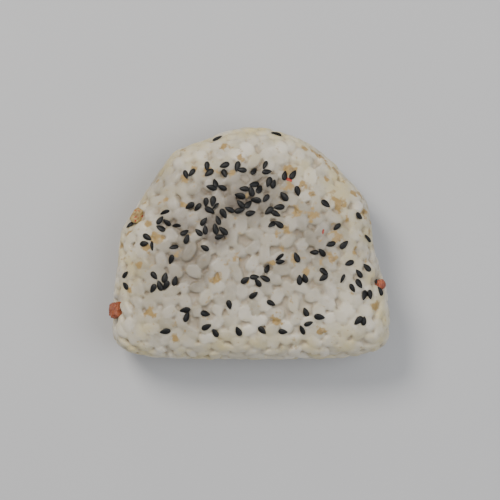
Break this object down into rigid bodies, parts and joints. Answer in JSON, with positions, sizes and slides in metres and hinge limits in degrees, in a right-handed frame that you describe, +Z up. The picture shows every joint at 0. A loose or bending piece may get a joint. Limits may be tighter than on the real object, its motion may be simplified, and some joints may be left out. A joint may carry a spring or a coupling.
{
  "type": "onigiri rice ball",
  "caption": "Rice ball pressed in a wide mould with a round top, lying on its flat back, with black sesame on the upper face and scraps of chicken filling in the side.",
  "frame": {"origin": "under the middle of the ball, on the resting face", "axes": "+X along the base edge, +Y from the base edge to the round top, +Z up from the resting face to the face with the sesame"},
  "size_m": [0.0892, 0.074, 0.0325],
  "materials": {
    "rice": "moist cooked rice",
    "filling": "glazed cooked chicken",
    "sesame": "roasted seed"
  },
  "bodies": {
    "root": {"rice_ball": "rice", "filling_scrap_left": "filling", "filling_scrap_right": "filling", "filling_scrap_upper_left": "filling"}
  },
  "joints": []
}
